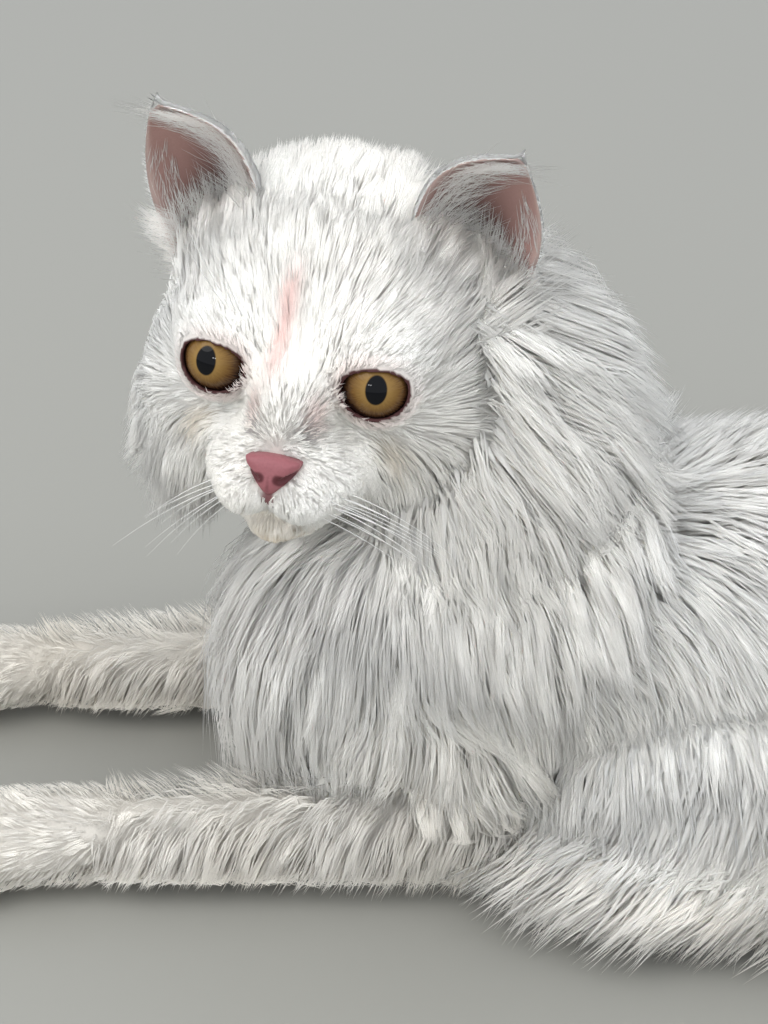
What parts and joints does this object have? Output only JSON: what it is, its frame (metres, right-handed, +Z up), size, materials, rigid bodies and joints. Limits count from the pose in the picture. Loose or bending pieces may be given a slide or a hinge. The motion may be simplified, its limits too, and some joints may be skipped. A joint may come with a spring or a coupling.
{
  "type": "persian cat",
  "caption": "Life-size long-haired white cat lying on its chest, forelegs stretched forward, head raised and turned to its left, tail laid round its left side.",
  "frame": {"origin": "on the floor, on the flat of the belly under the shoulders", "axes": "the cat faces -Y, its left side is +X, +Z is up"},
  "size_m": [0.2628, 0.5281, 0.2101],
  "materials": {
    "coat": "long soft white hair with a cream cast on the forelegs",
    "ear": "thin pink-brown skin with fine pale hair",
    "nose_leather": "matt rose-pink leather",
    "eye": "amber iris, dark pupil, wet gloss"
  },
  "bodies": {
    "root": {"head": "coat", "neck": "coat", "torso": "coat", "nose": "nose_leather", "eye_left": "eye", "eye_right": "eye", "ear_left": "ear", "ear_right": "ear", "foreleg_left": "coat", "foreleg_right": "coat", "forepaw_left": "coat", "forepaw_right": "coat", "hindleg_left": "coat", "hindleg_right": "coat", "hindpaw_left": "coat", "hindpaw_right": "coat", "tail_base": "coat", "tail_middle": "coat", "tail_tip": "coat"}
  },
  "joints": []
}
